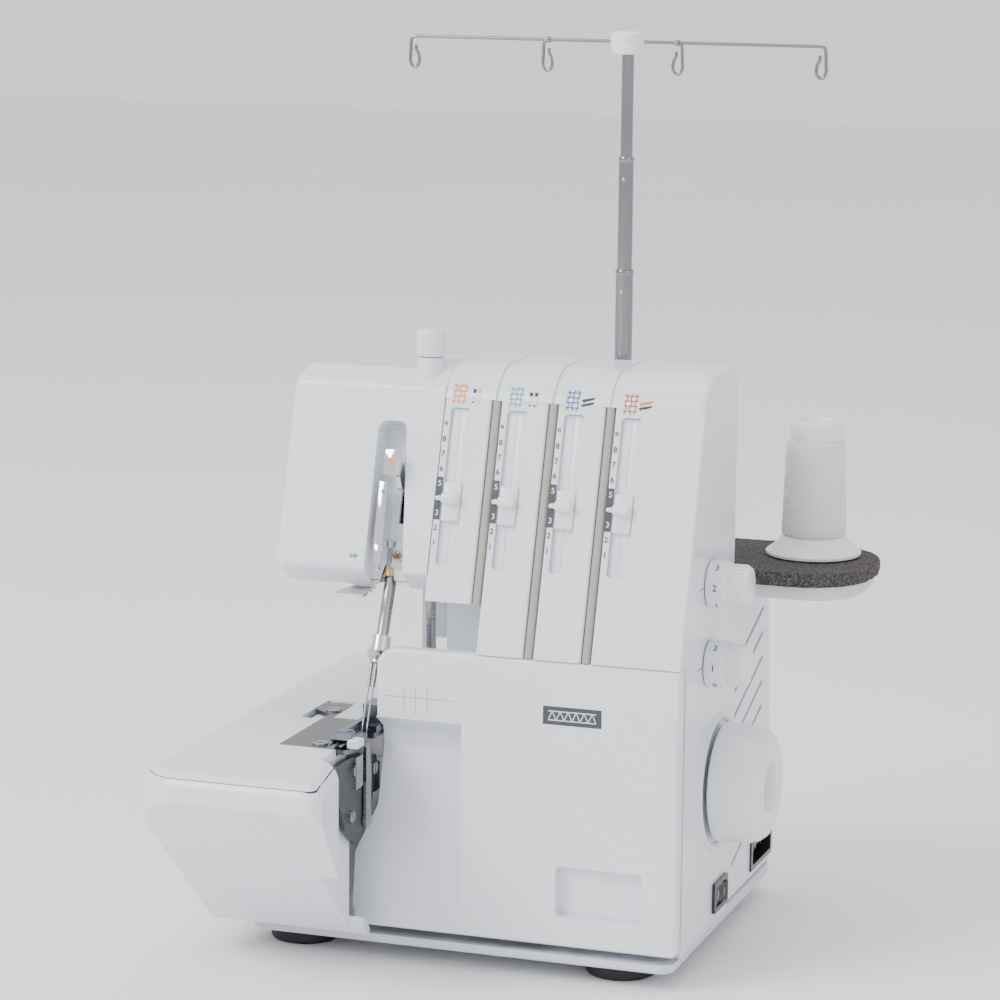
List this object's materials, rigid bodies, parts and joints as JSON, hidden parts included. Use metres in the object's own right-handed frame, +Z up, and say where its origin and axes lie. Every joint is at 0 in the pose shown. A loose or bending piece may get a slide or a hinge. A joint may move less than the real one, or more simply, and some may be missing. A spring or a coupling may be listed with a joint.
{
  "type": "serger overlock machine",
  "caption": "Overlock sewing machine with leaning tension tower, sliding looper cover and arm cover, handwheel, spool stand and telescopic thread guide pole.",
  "frame": {"origin": "middle of the whole machine's footprint, on the surface it stands on", "axes": "+Z up, +Y to the back of the machine, +X to the operator's right (handwheel side)"},
  "size_m": [0.299, 0.295, 0.453],
  "materials": {
    "shell_white": "smooth gloss moulded ABS",
    "arm_white": "smooth gloss moulded ABS",
    "side_white": "smooth gloss moulded ABS",
    "base_grey": "fine-grained moulded ABS",
    "strip_grey": "satin moulded strip",
    "inner_white": "satin moulded ABS",
    "control_white": "smooth gloss moulded ABS",
    "pole_grey": "smooth tube",
    "hub_clear": "translucent white nylon",
    "foot_rubber": "moulded rubber",
    "foam_mat": "speckled foam",
    "thread": "cross-wound polyester thread",
    "chrome": "polished plating",
    "steel": "ground steel",
    "plate_steel": "dark brushed steel",
    "foot_steel": "blued steel",
    "black_plate": "black paint",
    "cast": "as-cast",
    "motor_steel": "black paint",
    "belt_rubber": "ribbed rubber",
    "black_plastic": "moulded plastic",
    "brass": "turned brass"
  },
  "bodies": {
    "root": {"arm_base": "inner_white", "base_tray": "base_grey", "bearing_bushes": "brass", "drive_belt": "belt_rubber", "frame_casting": "cast", "head_bottom_plate": "inner_white", "head_casting": "cast", "head_cover": "shell_white", "inner_wall": "inner_white", "looper_plate": "black_plate", "lower_knife": "steel", "motor": "motor_steel", "motor_cover": "side_white", "needle_plate": "plate_steel", "pivot_pins": "steel", "pole_lower": "pole_grey", "power_inlet": "black_plastic", "presser_spring": "steel", "rubber_feet": "foot_rubber", "slotted_screws": "steel", "spool_mat": "foam_mat", "spool_pins": "hub_clear", "spool_stand": "base_grey", "switch_bezel": "black_plastic", "tension_panels": "shell_white", "thread_channel_strips": "strip_grey", "thread_guides": "chrome", "tower_housing": "side_white"},
    "handwheel": {"handwheel": "control_white", "main_shaft": "steel", "shaft_pulley": "steel"},
    "motor_rotor": {"motor_pulley": "steel"},
    "needle_bar": {"needle_bar": "steel", "needle_clamp": "chrome", "needles": "steel"},
    "presser_bar": {"presser_bar": "steel", "presser_foot": "foot_steel", "presser_foot_guide": "inner_white"},
    "lifter_lever": {"lifter_lever": "inner_white"},
    "pressure_knob": {"pressure_knob": "control_white"},
    "take_up_lever": {"take_up_lever": "chrome"},
    "upper_looper": {"upper_looper": "steel"},
    "lower_looper": {"lower_looper": "steel"},
    "upper_knife": {"upper_knife": "steel"},
    "feed_dog": {"feed_dog": "plate_steel"},
    "tension_slider_1": {"tension_slider_1": "control_white"},
    "tension_slider_2": {"tension_slider_2": "control_white"},
    "tension_slider_3": {"tension_slider_3": "control_white"},
    "tension_slider_4": {"tension_slider_4": "control_white"},
    "stitch_length_knob": {"stitch_length_knob": "control_white"},
    "differential_feed_knob": {"differential_feed_knob": "control_white"},
    "power_rocker": {"power_rocker": "black_plastic"},
    "cover_slider": {"cover_hinge_shaft": "steel"},
    "looper_cover": {"looper_cover": "shell_white"},
    "arm_cover": {"arm_cover": "arm_white"},
    "pole_middle": {"pole_middle": "pole_grey"},
    "pole_upper": {"pole_upper": "pole_grey"},
    "thread_guide_bar": {"guide_hub": "hub_clear", "guide_wires": "chrome"},
    "thread_cone": {"thread_cone": "thread"}
  },
  "joints": [
    {"name": "handwheel_turn", "type": "hinge", "parent": "root", "child": "handwheel", "pos_m": [0.0865, 0.0272, 0.089], "axis": [1, 0, 0], "continuous": true},
    {"name": "motor_turn", "type": "hinge", "parent": "root", "child": "motor_rotor", "pos_m": [0.0865, 0.0995, 0.07], "axis": [1, 0, 0], "continuous": true},
    {"name": "needle_bar_slide", "type": "slide", "parent": "root", "child": "needle_bar", "axis": [0, 0.4067, 0.9135], "range_m": [-0.012, 0.008]},
    {"name": "presser_lift", "type": "slide", "parent": "root", "child": "presser_bar", "axis": [0, 0, 1], "range_m": [0, 0.0052], "deforming": ["presser_spring"]},
    {"name": "lifter_lever_turn", "type": "hinge", "parent": "root", "child": "lifter_lever", "pos_m": [-0.065, 0.035, 0.178], "axis": [1, 0, 0], "range_deg": [0, 60]},
    {"name": "pressure_knob_turn", "type": "hinge", "parent": "root", "child": "pressure_knob", "pos_m": [-0.057, 0.005, 0.3], "axis": [0, 0, 1], "range_deg": [-180, 180]},
    {"name": "take_up_turn", "type": "hinge", "parent": "root", "child": "take_up_lever", "pos_m": [-0.064, 0.01545, 0.21952], "axis": [1, 0, 0], "range_deg": [-5, 16]},
    {"name": "upper_looper_turn", "type": "hinge", "parent": "root", "child": "upper_looper", "pos_m": [-0.06, -0.0125, 0.084], "axis": [1, 0, 0], "range_deg": [-10, 10]},
    {"name": "lower_looper_turn", "type": "hinge", "parent": "root", "child": "lower_looper", "pos_m": [-0.055, -0.0125, 0.048], "axis": [1, 0, 0], "range_deg": [-10, 10]},
    {"name": "upper_knife_turn", "type": "hinge", "parent": "root", "child": "upper_knife", "pos_m": [-0.0691, -0.0485, 0.074], "axis": [1, 0, 0], "range_deg": [-3, 2]},
    {"name": "feed_dog_slide", "type": "slide", "parent": "root", "child": "feed_dog", "axis": [0, 1, 0], "range_m": [-0.0015, 0.0025]},
    {"name": "tension_slide_1", "type": "slide", "parent": "root", "child": "tension_slider_1", "axis": [0, 0.2873, 0.9578], "range_m": [-0.02, 0.036]},
    {"name": "tension_slide_2", "type": "slide", "parent": "root", "child": "tension_slider_2", "axis": [0, 0.2873, 0.9578], "range_m": [-0.02, 0.036]},
    {"name": "tension_slide_3", "type": "slide", "parent": "root", "child": "tension_slider_3", "axis": [0, 0.2873, 0.9578], "range_m": [-0.02, 0.036]},
    {"name": "tension_slide_4", "type": "slide", "parent": "root", "child": "tension_slider_4", "axis": [0, 0.2873, 0.9578], "range_m": [-0.02, 0.036]},
    {"name": "stitch_length_turn", "type": "hinge", "parent": "root", "child": "stitch_length_knob", "pos_m": [0.0865, 0.0068, 0.1923], "axis": [1, 0, 0], "range_deg": [-135, 135]},
    {"name": "differential_feed_turn", "type": "hinge", "parent": "root", "child": "differential_feed_knob", "pos_m": [0.0865, 0.0068, 0.153], "axis": [1, 0, 0], "range_deg": [-135, 135]},
    {"name": "power_rocker_turn", "type": "hinge", "parent": "root", "child": "power_rocker", "pos_m": [0.085, 0.0345, 0.0295], "axis": [0, 0, 1], "range_deg": [-6, 6]},
    {"name": "cover_slide", "type": "slide", "parent": "root", "child": "cover_slider", "axis": [1, 0, 0], "range_m": [0, 0.03]},
    {"name": "cover_swing", "type": "hinge", "parent": "cover_slider", "child": "looper_cover", "pos_m": [0.0865, -0.0365, 0.0212], "axis": [1, 0, 0], "range_deg": [0, 95]},
    {"name": "arm_cover_slide", "type": "slide", "parent": "root", "child": "arm_cover", "axis": [-1, 0, 0], "range_m": [0, 0.06]},
    {"name": "pole_middle_slide", "type": "slide", "parent": "root", "child": "pole_middle", "axis": [0, 0, 1], "range_m": [-0.055, 0]},
    {"name": "pole_upper_slide", "type": "slide", "parent": "pole_middle", "child": "pole_upper", "axis": [0, 0, 1], "range_m": [-0.046, 0]},
    {"name": "guide_bar_turn", "type": "hinge", "parent": "pole_upper", "child": "thread_guide_bar", "pos_m": [0.0235, 0.0635, 0.448], "axis": [0, 0, 1], "range_deg": [-90, 90]},
    {"name": "thread_cone_spin", "type": "hinge", "parent": "root", "child": "thread_cone", "pos_m": [0.1148, 0.0989, 0.2], "axis": [0, 0, 1], "continuous": true}
  ],
  "couplings": [
    {"joint": "motor_turn", "follows": "handwheel_turn", "ratio": 3.2857},
    {"joint": "presser_lift", "follows": "lifter_lever_turn", "m_per_rad": 0.0047745},
    {"joint": "cover_swing", "follows": "cover_slide", "rad_per_m": 55.268}
  ]
}
